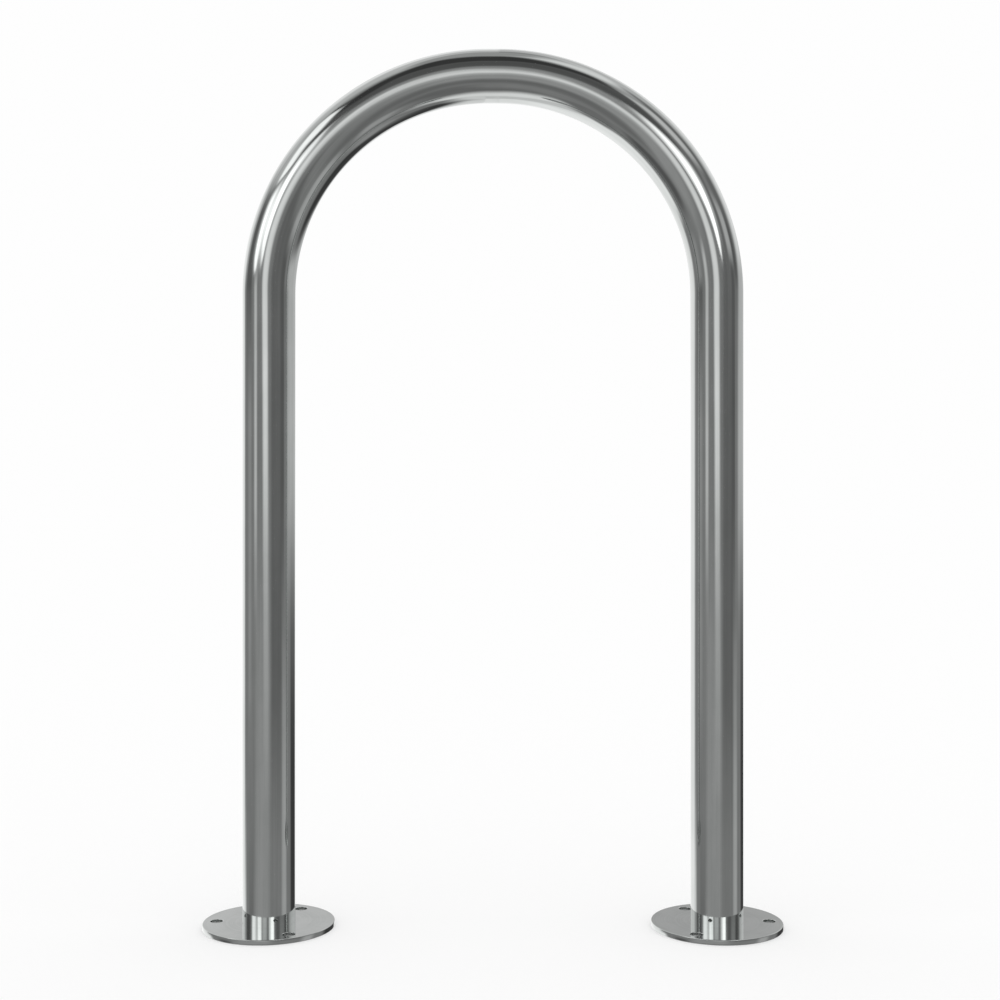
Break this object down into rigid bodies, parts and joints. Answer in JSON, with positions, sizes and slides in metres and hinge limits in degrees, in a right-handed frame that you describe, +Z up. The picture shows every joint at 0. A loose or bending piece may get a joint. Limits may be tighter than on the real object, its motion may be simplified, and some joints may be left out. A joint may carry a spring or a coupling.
{
  "type": "hoop bike rack",
  "caption": "Inverted-U bike rack of bent polished steel tube, with round floor flanges drilled for anchor bolts.",
  "frame": {"origin": "on the floor, at the middle of the rack, halfway between the two legs", "axes": "+X from the left leg to the right leg, +Y from the front of the rack to its rear, +Z up along the legs"},
  "size_m": [0.5616, 0.127, 0.85],
  "materials": {
    "polished_tube": "mirror-polished stainless steel",
    "polished_plate": "mirror-polished stainless steel plate",
    "weld": "cleaned weld bead, left as welded"
  },
  "bodies": {
    "root": {"hoop_tube": "polished_tube", "left_flange": "polished_plate", "right_flange": "polished_plate", "left_seal_weld": "weld", "right_seal_weld": "weld"}
  },
  "joints": []
}
